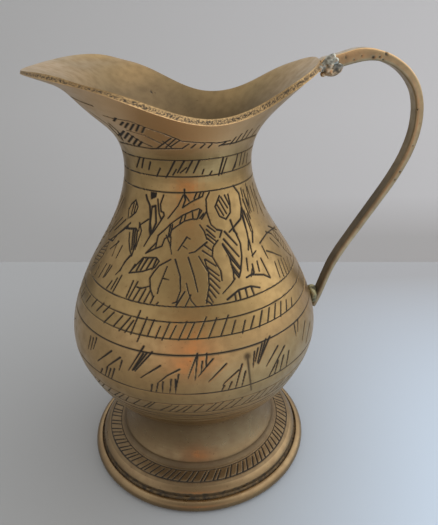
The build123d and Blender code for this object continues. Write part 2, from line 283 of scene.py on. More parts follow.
floral_wide = [
    (1261, 2282, 1305, 2287, 1359, 2287, 1372, 2309, 1359, 2425, 1314, 2559), (1332, 2300, 1314, 2496),
    (1350, 2309, 1332, 2496), (1515, 1930, 1515, 1985), (1530, 1932, 1525, 1980), (1545, 1935, 1540, 1975),
    (1560, 1935, 1555, 1968), (1462, 1952, 1471, 1992, 1497, 2050, 1502, 2157, 1493, 2300, 1502, 2354),
    (1520, 2068, 1555, 2059, 1560, 2229, 1511, 2336, 1502, 2229, 1520, 2068), (1868, 2371, 1779, 2505),
    (1350, 2648, 1305, 2711), (1430, 2586, 1359, 2711), (1475, 2586, 1404, 2702), (1529, 2586, 1457, 2702),
    (1564, 2595, 1520, 2693), (1752, 2595, 1801, 2764, 1803, 2913, 1761, 3023, 1725, 3032),
    (1844, 1896, 1844, 1944), (1844, 1944, 1853, 2001, 1824, 2077), (2303, 2202, 2331, 2278),
    (2330, 2280, 2360, 2336), (2336, 2305, 2370, 2340), (2245, 2317, 2370, 2451), (2236, 2393, 2389, 2565),
    (2226, 2441, 2408, 2680), (2293, 2565, 2398, 2690), (2312, 2642, 2398, 2757), (2331, 2699, 2389, 2776),
    (2073, 2259, 2150, 2317), (2064, 2297, 2150, 2374), (2073, 2345, 2159, 2412), (2073, 2384, 2140, 2441),
    (2044, 2451, 2121, 2508), (2025, 2508, 2111, 2565), (2054, 2594, 2159, 2661), (2073, 2671, 2188, 2757),
    (2083, 2718, 2197, 2814), (2102, 2785, 2197, 2881), (2102, 2843, 2188, 2938), (2092, 2891, 2159, 2977),
    (2083, 2948, 2130, 3024), (2064, 3005, 2121, 3044), (2169, 2297, 2217, 2307, 2197, 2374),
    (2068, 2422, 1949, 2518, 1891, 2532), (1882, 2575, 1939, 2757, 1977, 2919), (2523, 2317, 2528, 2422),
    (2274, 2996, 2389, 2900, 2504, 2862, 2599, 2876), (2351, 2948, 2360, 3005), (2389, 2910, 2408, 2996),
    (2456, 2891, 2475, 2967), (2513, 2871, 2542, 2948),
]
hatch_lines = [
    (850, 2915, 810, 2975), (905, 2955, 860, 3020), (970, 2995, 915, 3060), (1039, 3033, 965, 3108),
    (1098, 3058, 1031, 3124), (1139, 3124, 1039, 3224), (1226, 3158, 1131, 3265), (1305, 3174, 1189, 3307),
    (1334, 3207, 1247, 3323), (1404, 3108, 1305, 3340), (1471, 3174, 1371, 3415), (1541, 3199, 1471, 3365),
    (1603, 3265, 1554, 3381), (1695, 3232, 1620, 3398), (1761, 3257, 1695, 3390), (1869, 3216, 1786, 3398),
    (1943, 3232, 1871, 3393), (2063, 3170, 1970, 3393), (2166, 3179, 2086, 3384), (2282, 3152, 2211, 3357),
    (2354, 3205, 2318, 3339), (2452, 3205, 2425, 3330), (2541, 3161, 2505, 3295), (2621, 3107, 2595, 3268),
    (2693, 3080, 2679, 3223), (2755, 3036, 2746, 3188), (2809, 3018, 2809, 3161), (2863, 3000, 2867, 3107),
    (2915, 2980, 2920, 3070),
]
tick_lines = [
    (907, 3365, 882, 3489), (932, 3381, 907, 3498), (965, 3381, 932, 3489), (1114, 3510, 977, 3609),
    (1201, 3576, 1089, 3651, 1064, 3680), (1023, 3688, 1006, 3730), (1073, 3672, 1052, 3755),
    (1106, 3688, 1081, 3771), (1143, 3688, 1114, 3788), (1218, 3609, 1189, 3705), (1437, 3464, 1284, 3705),
    (1603, 3659, 1404, 3779), (1794, 3697, 1670, 3759, 1578, 3833), (1578, 3837, 1562, 3920),
    (1628, 3821, 1624, 3920), (1711, 3796, 1699, 3929), (1753, 3796, 1757, 3929), (1786, 3746, 1753, 3929),
    (1974, 3536, 1880, 3786), (1974, 3554, 1952, 3804), (2023, 3616, 2010, 3732), (2130, 3589, 1983, 3768),
    (2264, 3638, 2090, 3817), (2389, 3701, 2246, 3830, 2229, 3857), (2318, 3821, 2287, 3893),
    (2421, 3643, 2358, 3875), (2456, 3714, 2421, 3857), (2546, 3518, 2532, 3670), (2581, 3482, 2554, 3616),
    (2778, 3460, 2666, 3661), (2845, 3460, 2720, 3705, 2693, 3759), (2746, 3661, 2697, 3750),
    (2782, 3607, 2746, 3741), (2836, 3554, 2800, 3705), (2889, 3509, 2863, 3661), (2943, 3241, 2961, 3357),
    (2979, 3196, 2979, 3313), (3050, 3214, 3023, 3402), (3099, 3223, 3059, 3429),
]
tick_wide = [
    (1429, 3539, 1321, 3705), (1465, 3535, 1335, 3700), (1520, 3522, 1350, 3709), (1520, 3846, 1512, 3912),
    (2068, 3536, 2059, 3679), (2246, 3857, 2220, 3902), (2621, 3438, 2577, 3625), (2657, 3393, 2608, 3571),
    (2697, 3366, 2586, 3634),
]
neck_lines = [
    (1395, 1581, 1366, 1672), (1435, 1586, 1418, 1678), (1504, 1621, 1487, 1695), (1602, 1684, 1567, 1764),
    (1763, 1695, 1728, 1753), (1866, 1678, 1803, 1730), (2038, 1695, 2021, 1741), (2118, 1713, 2095, 1753),
    (2268, 1581, 2216, 1741), (2359, 1615, 2325, 1707), (2377, 1546, 2348, 1672), (2417, 1535, 2394, 1650),
    (2451, 1523, 2428, 1638), (2474, 1535, 2463, 1627),
]
neck_wide = [
    (1745, 1615, 1694, 1718, 1659, 1776), (1843, 1609, 1774, 1730), (1923, 1609, 1860, 1730),
    (1992, 1609, 1935, 1730), (2233, 1581, 2187, 1753),
]
flare_lines = [
    (1200, 1420, 1349, 1460, 1510, 1489, 1808, 1489), (2210, 1454, 2348, 1431, 2555, 1351),
    (1037, 1156, 1118, 1182, 1292, 1212, 1476, 1284, 1629, 1335, 1820, 1414, 2004, 1431),
    (2004, 1431, 2176, 1431, 2302, 1408), (1271, 1304, 1445, 1355, 1629, 1447),
    (1282, 1335, 1404, 1416, 1516, 1467), (904, 1120, 1088, 1253, 1220, 1396),
    (1088, 1233, 1180, 1314, 1231, 1406), (1210, 1335, 1180, 1355), (1629, 1416, 1710, 1478),
    (1751, 1396, 1659, 1478), (1800, 1406, 1710, 1467), (2302, 1443, 2359, 1374), (2359, 1420, 2417, 1340),
    (2417, 1397, 2474, 1305), (2463, 1374, 2520, 1294), (2520, 1351, 2589, 1259),
    (710, 967, 812, 1018, 924, 1059),
]
flare_wide = [
    (1240, 1310, 1205, 1355), (1285, 1330, 1245, 1385), (1330, 1360, 1285, 1420), (1375, 1390, 1335, 1445),
    (1420, 1420, 1385, 1460), (1159, 1182, 1139, 1212), (1231, 1222, 1205, 1253), (1282, 1233, 1251, 1279),
    (1338, 1243, 1302, 1304), (1389, 1253, 1363, 1314), (1445, 1273, 1419, 1330), (1710, 1386, 1567, 1488),
    (1820, 1489, 1889, 1443), (1912, 1483, 1958, 1443), (2004, 1483, 2049, 1443), (2084, 1477, 2118, 1443),
    (2193, 1460, 2256, 1426),
]


def unit(values):
    """Values held between 0 and 1."""
    return np.clip(values, 0, 1)


def outward(angle):
    """The level direction away from the Z axis at an angle."""
    return Vector((math.cos(angle), math.sin(angle), 0))


# Camera


def camera_axes():
    """Right, up and look directions of the camera."""
    cos_pitch = math.cos(camera_pitch)
    forward = math.cos(camera_yaw) * cos_pitch
    look = Vector((math.sin(camera_yaw) * cos_pitch, forward, -math.sin(camera_pitch)))
    level = look.cross(Vector((0, 0, 1))).normalized()
    upright = level.cross(look)
    cos_roll, sin_roll = math.cos(camera_roll), math.sin(camera_roll)
    return level * cos_roll + upright * sin_roll, upright * cos_roll - level * sin_roll, look


def pixel_ray(x, y):
    """Direction from the camera through a pixel of the photograph."""
    right, up, look = camera_axes()
    across, down = x - image_width / 2, y - image_height / 2
    return (look * focal_pixels + right * across - up * down).normalized()


def make_camera():
    """The camera of the photograph."""
    data = bpy.data.cameras.new("camera")
    data.sensor_width = sensor_width
    data.lens = focal_pixels * sensor_width / image_height
    data.clip_start, data.clip_end = clip_start, clip_end
    camera = add_object("camera", data)
    right, up, look = camera_axes()
    turn = Matrix((right, up, -look)).transposed().to_4x4()
    camera.matrix_world = Matrix.Translation(camera_place) @ turn
    bpy.context.scene.camera = camera


# Lines read from the meshes of the frame


def welded(node):
    """A bmesh of a CAD node with its doubled vertices joined."""
    mesh = bmesh.new()
    mesh.from_mesh(nodes[node].data)
    bmesh.ops.remove_doubles(mesh, verts=mesh.verts, dist=weld_gap)
    return mesh


def joined(edges, wanted):
    """The neighbours of each vertex, along edges whose two places are wanted."""
    links = {}
    for edge in edges:
        a, b = edge.verts
        if wanted(a.co) and wanted(b.co):
            links.setdefault(a, []).append(b)
            links.setdefault(b, []).append(a)
    return links


def rim_loops():
    """Outer and inner edge of the mouth, each as angle, radius and height, sorted by angle."""
    mesh = welded("upper_body")
    sharp = [e for e in mesh.edges if len(e.link_faces) == 2 and e.calc_face_angle() > rim_edge_angle]
    links = joined(sharp, lambda place: place.z > rim_lowest)
    loops = []
    left = set(links)
    while left:
        stack, loop = [left.pop()], []
        while stack:
            vert = stack.pop()
            loop.append(vert.co.copy())
            for other in links[vert]:
                if other in left:
                    left.discard(other)
                    stack.append(other)
        loops.append(np.array(loop))
    mesh.free()
    tables = []
    for loop in sorted(loops, key=len)[-2:]:
        angle = np.arctan2(loop[:, 1], loop[:, 0]) % (2 * np.pi)
        order = np.argsort(angle)
        tables.append((angle[order], np.hypot(loop[order, 0], loop[order, 1]), loop[order, 2]))
    return sorted(tables, key=lambda table: -table[1].mean())


def around(table):
    """Radius and height of an edge loop at the angles of the columns."""
    angle, *values = table
    return [np.interp(column_angles, angle, value, period=2 * np.pi) for value in values]


def run_length(radius, height):
    """The way along a profile to each of its points."""
    return np.concatenate([[0], np.cumsum(np.hypot(np.diff(radius), np.diff(height)))])


def even_rows(radius, height, rows):
    """A fine profile, given at stations, at even steps of its own length."""
    length = run_length(radius, height)
    wanted = np.linspace(0, length[-1], rows)
    return np.interp(wanted, length, radius), np.interp(wanted, length, height)


def cross_section(node):
    """The closed line, as radii and heights, in which the half plane y = 0, x > 0 cuts a turned CAD node."""
    mesh = welded(node)
    geometry = mesh.verts[:] + mesh.edges[:] + mesh.faces[:]
    across = (-section_tilt, 1, 0)
    cut = bmesh.ops.bisect_plane(mesh, geom=geometry, plane_co=(0, 0, 0), plane_no=across, dist=same_plane)
    edges = [e for e in cut["geom_cut"] if isinstance(e, bmesh.types.BMEdge)]
    links = joined(edges, lambda place: place.x > -same_place)
    ends = [v for v in links if len(links[v]) == 1]
    line, before = [min(ends or links, key=lambda v: v.co.z)], None
    while True:
        onward = [v for v in links[line[-1]] if v is not before and v is not line[0]]
        if not onward:
            break
        before = line[-1]
        line.append(onward[0])
    points = np.array([(math.hypot(v.co.x, v.co.y), v.co.z) for v in line])
    mesh.free()
    return points if ends else np.concatenate([points, points[:1]])


def spread(points, step_at):
    """Points along a profile whose spacing is step_at(radius, height), with the profile's corners kept."""
    points = points[np.concatenate([[True], np.hypot(*np.diff(points, axis=0).T) > same_place])]
    ahead = np.diff(points, axis=0)
    turn = np.unwrap(np.arctan2(ahead[:, 1], ahead[:, 0]))
    bends = [i + 1 for i in range(len(turn) - 1) if abs(turn[i + 1] - turn[i]) > corner_angle]
    corners = [0, *bends, len(points) - 1]
    distance = run_length(*points.T)
    chosen = []
    for first, last in zip(corners[:-1], corners[1:]):
        stops = [distance[first]]
        while stops[-1] < distance[last]:
            place = [np.interp(stops[-1], distance, points[:, i]) for i in (0, 1)]
            stops.append(stops[-1] + step_at(*place))
        stops = np.array(stops)
        scale = (distance[last] - distance[first]) / (stops[-1] - stops[0])
        chosen.extend(distance[first] + (stops[:-1] - stops[0]) * scale)
    chosen.append(distance[-1])
    return np.stack([np.interp(chosen, distance, points[:, i]) for i in (0, 1)], -1)


class Skin:
    """A grid of points over a surface round the Z axis: rows run along its profile, columns run round it."""

    def __init__(self, radius, height):
        if radius.ndim == 1:
            radius = np.repeat(radius[:, None], columns, 1)
            height = np.repeat(height[:, None], columns, 1)
        self.points = np.stack([radius * np.cos(column_angles), radius * np.sin(column_angles), height], -1)
        # The cut layer darkens the metal: soot in cuts and pits, and painted shade in the foot's cove and
        # inside the mouth. The last layer brightens it: worn brass, and painted highlights on the rim and the
        # flare.
        self.cut, self.groove, self.burr, self.bare = np.zeros((4, *radius.shape))

    def normals(self):
        """Directions square to the surface, on the right of the way the rows run."""
        along = np.gradient(self.points, axis=0)
        round_it = np.roll(self.points, -1, 1) - np.roll(self.points, 1, 1)
        square = np.cross(round_it, along)
        return square / np.maximum(np.linalg.norm(square, axis=-1, keepdims=True), almost_zero)

    def column(self, point):
        """The column, with its fraction, at the angle of a point."""
        return (math.atan2(point[1], point[0]) % (2 * math.pi)) * columns / (2 * math.pi)

    def row(self, point, column):
        """The row nearest to a point in a column."""
        gap = self.points[:, int(round(column)) % columns] - point
        return int(np.argmin((gap * gap).sum(-1)))

    def window(self, start, end, reach):
        """The rows and columns of the grid within reach of a straight stroke."""
        first, last = self.column(start), self.column(end)
        if last - first > columns / 2:
            first += columns
        if first - last > columns / 2:
            last += columns
        rows = [self.row(start, first), self.row(end, last)]
        radius = max(math.hypot(start[0], start[1]), least_radius)
        spare = int(reach / (radius * 2 * math.pi / columns)) + 2
        chosen_columns = np.arange(int(min(first, last)) - spare, int(max(first, last)) + spare + 2) % columns
        spare = int(reach / fine_step) + 2
        low, high = max(min(rows) - spare, 0), min(max(rows) + spare + 1, len(self.points))
        return np.ix_(np.arange(low, high), chosen_columns)

    def carve(self, start, end, start_width, end_width):
        """Cuts one straight tapered stroke. The widths are whole widths of its mouth."""
        start, end = np.array(start), np.array(end)
        window = self.window(start, end, max(start_width, end_width) * cut_reach + cut_spare)
        points = self.points[window]
        way = end - start
        share = unit(((points - start) @ way) / max(way @ way, almost_zero))
        distance = np.linalg.norm(points - start - share[..., None] * way, axis=-1)
        half = (start_width + (end_width - start_width) * share) / 2
        ratio = distance / half
        deep = groove_depth * np.clip(half / full_half_width, least_depth, most_depth)
        for layer, values in (
            (self.cut, unit((soot_end - ratio) / soot_fade)),
            (self.groove, deep * unit(1 - ratio**2)),
            (self.burr, burr_height * np.exp(-(((ratio - burr_middle) / burr_spread) ** 2))),
        ):
            layer[window] = np.maximum(layer[window], values)

    def stroke(self, line, start_width, end_width):
        """Cuts a line of points, with its width changing evenly from start to end."""
        line = [np.array(p) for p in line]
        lengths = [0]
        for a, b in zip(line[:-1], line[1:]):
            lengths.append(lengths[-1] + np.linalg.norm(b - a))
        total = max(lengths[-1], almost_zero)
        widths = [start_width + (end_width - start_width) * s / total for s in lengths]
        for i in range(len(line) - 1):
            self.carve(line[i], line[i + 1], widths[i], widths[i + 1])

    def ring(self, place, width):
        """Cuts a line round the surface, unsteady as by hand. place(angle, drift) gives its points."""
        phase = dice.random() * ring_phases
        line = []
        for i in range(ring_pieces + 1):
            angle = 2 * math.pi * i / ring_pieces
            drift = noise.noise(Vector((math.cos(angle) * ring_waves, math.sin(angle) * ring_waves, phase)))
            line.append(place(angle, ring_wander * drift))
        self.stroke(line, width, width)

    def mesh(self, name, closed=True):
        """The object. closed joins the last row to the first; otherwise both end in a point on the axis."""
        points = self.points + self.normals() * (self.burr * (self.groove <= 0) - self.groove)[..., None]
        index = np.arange(len(points) * columns).reshape(-1, columns)
        low = index if closed else index[:-1]
        high = np.roll(index, -1, 0) if closed else index[1:]
        quads = np.stack([low, np.roll(low, -1, 1), np.roll(high, -1, 1), high], -1).reshape(-1, 4)
        mesh = bpy.data.meshes.new(name)
        mesh.from_pydata(points.reshape(-1, 3), [], quads.tolist())
        write_values(mesh, cut=self.cut, bare=self.bare)
        if not closed:
            work = bmesh.new()
            work.from_mesh(mesh)
            bmesh.ops.remove_doubles(work, verts=work.verts, dist=pole_gap)
            work.to_mesh(mesh)
            work.free()
        mesh.shade_smooth()
        mesh.set_sharp_from_angle(angle=shading_angle)
        return add_object(name, mesh)


# Skins of the three engraved pieces


def upper_skin():
    """Skin of the upper body: up its outside, over the rim, down its inside. Also the rows of its rim."""
    tree = trees["upper_body"]
    (outer_radius, outer_height), (inner_radius, inner_height) = (around(table) for table in rim_loops())
    thinned = rim_thinning + spout_thinning * unit(-np.cos(column_angles)) ** 2
    shift = (outer_radius - inner_radius) * thinned
    inner_radius = inner_radius + shift
    inner_height = inner_height + (outer_height - inner_height) * thinned
    radius = np.zeros((outer_rows + rim_rows + inner_rows, columns))
    height = np.zeros_like(radius)
    rim = slice(outer_rows, outer_rows + rim_rows)
    share = np.linspace(0, 1, rim_rows + 2)[1:-1, None]
    radius[rim] = outer_radius + (inner_radius - outer_radius) * share
    height[rim] = outer_height + (inner_height - outer_height) * share
    for c, angle in enumerate(column_angles):
        way = outward(angle)
        stations = np.linspace(seam_height + ray_gap, outer_height[c], profile_stations)
        hits = [tree.ray_cast(way * far_out + Vector((0, 0, z)), -way)[0] for z in stations[:-1]]
        profile = np.array([math.hypot(*hit.xy) for hit in hits] + [outer_radius[c]])
        stations[0] = seam_height
        radius[: rim.start, c], height[: rim.start, c] = even_rows(profile, stations, outer_rows)
        stations = np.linspace(inner_height[c], seam_height + ray_gap, profile_stations)
        hits = [tree.ray_cast(Vector((0, 0, z)), way)[0] for z in stations[1:]]
        profile = np.array([inner_radius[c]] + [math.hypot(*hit.xy) for hit in hits])
        profile[1:thinned_stations] += shift[c] * np.linspace(1, 0, thinned_stations)[1:]
        stations[-1] = seam_height
        radius[rim.stop :, c], height[rim.stop :, c] = even_rows(profile, stations, inner_rows)
    skin = Skin(radius, height)
    skin.rim = rim
    return skin


def turned_skin(node, outside_step):
    """Skin of a turned CAD node: up its outside in the given steps, then down its inside in coarse ones."""
    line = cross_section(node)
    closed = np.allclose(line[0], line[-1])
    area = np.sum(line[:-1, 0] * line[1:, 1] - line[1:, 0] * line[:-1, 1])
    if closed and area < 0:
        line = line[::-1]
    top = int(np.argmax(line[:, 1]))
    outside = spread(line[: top + 1], outside_step)
    inside = spread(line[top:], lambda radius, height: coarse_step)
    profile = np.concatenate([outside, inside[1:-1] if closed else inside[1:]])
    return Skin(*profile.T)


# Places on the surfaces


def tree_of(node):
    """Ray casting tree of a CAD node."""
    return BVHTree.FromObject(nodes[node], bpy.context.evaluated_depsgraph_get())


def nearest(names, x, y):
    """The nearest place on the named CAD nodes that a pixel of the photograph shows, or None."""
    hits = [trees[name].ray_cast(camera_place, pixel_ray(x, y)) for name in names]
    hits = [hit for hit in hits if hit[0] is not None]
    return min(hits, key=lambda hit: hit[3])[0] if hits else None


def seen(x, y):
    """The place on the body or its mouth that a pixel of the photograph shows, or None."""
    return nearest(("upper_body", "lower_body"), x, y)


def spots(rows, names):
    """Places and radii of the round spots of a table that lie on the named CAD nodes."""
    found = [(nearest(names, x, y), radius * mm) for x, y, radius in rows]
    return [spot for spot in found if spot[0] is not None]


def on_side(angle, height):
    """The place on the outside of the body at an angle and a height."""
    way = outward(angle)
    node = "upper_body" if height > seam_height else "lower_body"
    return trees[node].ray_cast(way * far_out + Vector((0, 0, height)), -way)[0]


def on_foot(angle, radius):
    """The place on the foot's upper side at an angle and a radius."""
    start = Vector((radius * math.cos(angle), radius * math.sin(angle), foot_clear_height))
    return trees["foot"].ray_cast(start, Vector((0, 0, -1)))[0]


def traced(row):
    """Places of a stroke of a table, close enough together to follow the surface."""
    places = []
    stops = [(x / tenths, y / tenths) for x, y in zip(row[0::2], row[1::2])]
    for (x0, y0), (x1, y1) in zip(stops[:-1], stops[1:]):
        steps = max(1, round(math.hypot(x1 - x0, y1 - y0) / pixels_per_step))
        places += [seen(x0 + (x1 - x0) * i / steps, y0 + (y1 - y0) * i / steps) for i in range(steps)]
    places.append(seen(*stops[-1]))
    return [place for place in places if place is not None]


def half_turned(place):
    """A place turned to the other side of the jug."""
    return Vector((-place.x, -place.y, place.z))


def mirrored(place):
    """A place mirrored in the plane of spout and handle."""
    return Vector((place.x, -place.y, place.z))


def cut_on_body(places, start_width, end_width):
    """Cuts a stroke into whichever halves of the body it crosses."""
    heights = [place[2] for place in places]
    if max(heights) > seam_height - fine_step:
        upper.stroke(places, start_width, end_width)
    if min(heights) < seam_height + fine_step:
        lower.stroke(places, start_width, end_width)


def widening(place):
    """How much wider a stroke is cut where the body turns away from the camera."""
    side = Vector((place.x, place.y, 0)).normalized()
    view = camera_place - place
    view.z = 0
    return 1 / max(least_facing, side.dot(view.normalized()))


def cut_traced(rows, start_width, end_width, other_side=half_turned):
    """Cuts the strokes of a table on the side of the photograph and again on the other side."""
    for row in rows:
        places = traced(row)
        if len(places) > 1:
            wider = widening(places[len(places) // 2])
            cut_on_body(places, start_width * wider, end_width * wider)
            cut_on_body([other_side(place) for place in places], start_width * wider, end_width * wider)


def side_stroke(angle, low, high, lean, start_width=line_width, end_width=line_width):
    """Cuts a straight stroke from one height to another, leaning by an angle."""
    shares = [i / side_stroke_steps for i in range(side_stroke_steps + 1)]
    places = [on_side(angle + lean * share, low + (high - low) * share) for share in shares]
    cut_on_body(places, start_width, end_width)


def loose(size):
    """A random share of a size, either way."""
    return size * (dice.random() * 2 - 1)


# Engraving


def cut_rings():
    """The turned circles that part the bands."""
    widths = {"tick_top": wide_width, "tick_foot": thin_width}
    for name, height in circle_heights.items():
        skin = upper if height > seam_height else lower
        skin.ring(lambda angle, drift: on_side(angle, height + drift), widths.get(name, ring_width))
    for height in faint_circle_heights:
        lower.ring(lambda angle, drift: on_side(angle, height + drift), thin_width)


def cut_hatch_bands():
    """Slanting strokes round the belly: the traced band, its gaps at the sides, and the band below."""
    cut_traced(hatch_lines, line_width, line_width)
    top, foot = circle_heights["hatch_top"] - hatch_gap, circle_heights["hatch_foot"]
    for side in (0, math.pi):
        for i in side_hatches:
            angle = side + i * hatch_pitch + loose(unevenness * hatch_pitch)
            side_stroke(angle, foot + loose(side_looseness), top + loose(side_looseness), hatch_lean)
    top, foot = circle_heights["low_hatch_top"] - hatch_gap, circle_heights["low_hatch_foot"] + low_hatch_rise
    for i in range(low_hatch_count):
        angle = (i + loose(low_hatch_unevenness)) * 2 * math.pi / low_hatch_count
        low, high = foot + loose(low_looseness), top + loose(low_looseness)
        side_stroke(angle, low, high, low_hatch_lean * (1 + loose(unevenness)), line_width, thin_width)


def tick_group(edge, form, *widths):
    """A few strokes that step on from one to the next, at both ends of the band."""
    count, angle, angle_step, start, start_step, end, end_step, lean = form
    for side in (0, math.pi):
        for i in range(count):
            first, last = edge + start + i * start_step, edge + end + i * end_step
            side_stroke(side + angle + i * angle_step, first, last, lean, *widths)


def cut_tick_band():
    """Groups of wedge strokes that hang from and stand on the belly band's circles."""
    cut_traced(tick_lines, wide_width, thin_width)
    cut_traced(tick_wide, wide_width, line_width)
    tick_group(circle_heights["tick_top"], hanging_ticks, wide_width, thin_width)
    tick_group(circle_heights["tick_foot"], standing_ticks, wide_width, line_width)
    tick_group(circle_heights["tick_top"], long_ticks)


def engraved_leaf(angle, foot, height, half_angle, lean):
    """A pointed leaf with hatching."""
    edges = []
    for side in (-1, 1):
        line = []
        for share in np.linspace(0, 1, leaf_steps + 1):
            swell = math.sin(math.pi * share) ** leaf_fullness * half_angle
            line.append(on_side(angle + lean * share + side * swell, foot + height * share))
        edges.append(line)
        cut_on_body(line, line_width, wide_width)
    for i in range(1, leaf_steps - 1):
        cut_on_body([edges[0][i], edges[1][i + 1]], line_width, thin_width)


def cut_floral_band():
    """The flowers and leaves of the shoulder."""
    cut_traced(floral_thin, line_width, thin_width)
    cut_traced(floral_lines, line_width, line_width)
    cut_traced(floral_wide, wide_width, line_width)
    for side in (0, math.pi):
        for turn, rise, *form in end_leaves:
            engraved_leaf(side + turn, circle_heights["floral_foot"] + rise, *form)


def cut_neck():
    """The neck's irregular strokes and the ornament under the flare."""
    cut_traced(neck_lines, line_width, line_width)
    cut_traced(neck_wide, wide_width, line_width)
    cut_traced(flare_lines, flare_width, flare_width, mirrored)
    cut_traced(flare_wide, flare_wide_width, flare_width, mirrored)


def cut_flange():
    """Radial strokes between two thin circles on the foot's flange."""
    for radius in (flange_band_inner, flange_band_outer):
        foot.ring(lambda angle, drift: on_foot(angle, radius + drift), thin_width)
    for i in range(flange_stroke_count):
        angle = (i + loose(unevenness)) * 2 * math.pi / flange_stroke_count
        outer = on_foot(angle, flange_band_outer - flange_outer_gap + loose(flange_outer_gap))
        inner = on_foot(angle + flange_lean, flange_band_inner + flange_inner_gap + loose(flange_inner_gap))
        foot.stroke([outer, (outer + inner) / 2, inner], wide_width, line_width)


def soil_foot_and_shade_cove():
    """The rough groove outside the flange, the painted shade of the cove, and the dull tone of the flange."""
    radius = np.hypot(foot.points[..., 0], foot.points[..., 1])
    height = foot.points[..., 2]
    in_groove = (height > foot_groove_heights[0]) & (height < foot_groove_heights[1])
    in_groove &= (radius > foot_groove_radii[0]) & (radius < foot_groove_radii[1])
    for r, c in np.argwhere(in_groove):
        front = unit((-foot.points[r, c, 1] / radius[r, c] - grit_facing) * grit_sharpness)
        grit = noise.noise(Vector(foot.points[r, c]) * groove_grain)
        foot.cut[r, c] = min(most_groove_soot, max(0, groove_soot + groove_soot_spread * grit))
        foot.points[r, c, 2] += max(0, grit - least_grit) * groove_grit * front
    # Painted shade in the cove under the collar.
    in_cove = np.exp(-(((height - cove_height) / cove_spread) ** 2)) * (radius < cove_radius)
    on_flange = (radius > flange_band_inner - flange_border) & (radius < flange_band_outer + flange_border)
    on_flange &= height > flange_lowest
    foot.cut = np.maximum(foot.cut, np.maximum(cove_painted_shade * in_cove, flange_soot * on_flange))


def roughen_rim():
    """Makes the rim's face coarse and pitted, as it was left by the file, with a painted highlight along its
    two edges and a brass tint over the face that is partly a painted glint.
    """
    for r in range(upper.rim.start, upper.rim.stop):
        inward = 1 - abs(2 * (r - upper.rim.start + 0.5) / rim_rows - 1)
        # Painted highlight: less dark fill towards the rim's two edges.
        filled = min(1, rim_highlit_edge_soot + rim_edge_rise * inward)
        for c in range(columns):
            place = Vector(upper.points[r, c])
            lump = noise.noise(place * rim_grain)
            lump += rim_fine_share * noise.noise(place * rim_grain * rim_finer)
            upper.points[r, c, 2] += (lump - rim_level) * rim_roughness * inward
            dark = rim_soot - lump * rim_soot_spread
            upper.cut[r, c] = min(max(dark, least_rim_soot), most_rim_soot) * filled
    # Brass tint over the whole face: filed metal, partly a painted glint.
    upper.bare[upper.rim] = rim_rubbing_and_glint


def shade_mouth_inside():
    """The mouth inside, with painted shade: dull in the middle and in the depth, brighter towards the lip of
    the spout.
    """
    inside = slice(upper.rim.stop, None)
    x = upper.points[inside, :, 0]
    depth = np.linspace(0, 1, len(x))[:, None]
    # Painted shade: darker deeper in the mouth and across its middle.
    dull = mouth_depth_painted_shade * depth + mouth_middle_painted_shade * np.exp(-((x / mouth_width) ** 2))
    upper.cut[inside] = np.maximum(upper.cut[inside], np.clip(dull, 0, most_mouth_painted_shade))


def paint_flare_sheen_and_wear():
    """The underside of the flare, brighter most of all at the front and the back: worn brighter by the hands,
    and a painted reflection.
    """
    outside = slice(0, upper.rim.start)
    x, y, z = (upper.points[outside, :, i] for i in range(3))
    facing = np.abs(y) / np.maximum(np.hypot(x, y), least_radius)
    # Painted reflection as well as wear: brightest where the underside faces the front and the back.
    sheen_and_wear = flare_least_sheen_and_wear + (1 - flare_least_sheen_and_wear) * facing**flare_sharpness
    upper.bare[outside] = unit((z - flare_foot) / flare_fade) * sheen_and_wear


def pit_mouth():
    """The one dark pit inside the mouth."""
    pit = seen(*mouth_pit_pixel)
    upper.carve(pit, pit + Vector((mouth_pit_length, 0, 0)), mouth_pit_width, mouth_pit_width)


# Materials


class Shading:
    """The node tree of a material or a world, with short ways to add to it."""

    def __init__(self, owner):
        owner.use_nodes = True
        self.tree = owner.node_tree

    def put(self, socket, value):
        """Links a socket to another one, or gives it a plain value or colour."""
        if isinstance(value, bpy.types.NodeSocket):
            self.tree.links.new(value, socket)
        else:
            socket.default_value = (*value, 1) if socket.type == "RGBA" else value

    def add(self, kind, inputs=(), **settings):
        """A new node with its settings, and its inputs by name or number."""
        node = self.tree.nodes.new(kind)
        for name, value in settings.items():
            setattr(node, name, value)
        for key, value in dict(inputs).items():
            self.put(node.inputs[key], value)
        return node

    def noise(self, scale, detail, stretch=(1, 1, 1)):
        """A noise over the object's own coordinates."""
        place = self.add("ShaderNodeTexCoord").outputs["Object"]
        place = self.add("ShaderNodeMapping", {"Vector": place, "Scale": stretch}).outputs["Vector"]
        pattern = {"Vector": place, "Scale": scale, "Detail": detail}
        return self.add("ShaderNodeTexNoise", pattern).outputs["Fac"]

    def attribute(self, name):
        """A value that the vertices carry."""
        return self.add("ShaderNodeAttribute", attribute_name=name).outputs["Fac"]

    def ramp(self, source, turn, *colours):
        """A ramp from one colour to another between two values of its source."""
        ramp = self.add("ShaderNodeValToRGB", {"Fac": source})
        for element, place, colour in zip(ramp.color_ramp.elements, turn, colours):
            element.position = place
            element.color = (*colour, 1)
        return ramp.outputs["Color"]

    def mix(self, share, first, second):
        """A mix of two colours, each a socket or a plain colour."""
        inputs = {"Factor": share, "A": first, "B": second}
        return self.add("ShaderNodeMix", inputs, data_type="RGBA").outputs["Result"]

    def between(self, source, ends, **settings):
        """How far a value has come from one end to the other."""
        inputs = {"Value": source, "From Min": ends[0], "From Max": ends[1]}
        return self.add("ShaderNodeMapRange", inputs, **settings).outputs["Result"]

    def calculate(self, kind, operation, first, second):
        """The value of a math or vector math node."""
        return self.add(kind, {0: first, 1: second}, operation=operation).outputs["Value"]

    def bump(self, distance, height, inputs=()):
        """A bump of full strength."""
        inputs = {"Distance": distance, "Strength": 1, "Height": height, **dict(inputs)}
        return self.add("ShaderNodeBump", inputs).outputs["Normal"]


def grey(value):
    """A grey as a colour."""
    return (value, value, value)


def new_material(name):
    """A material, its shading and the inputs of its shader."""
    material = bpy.data.materials.new(name)
    shading = Shading(material)
    return material, shading, shading.tree.nodes["Principled BSDF"].inputs


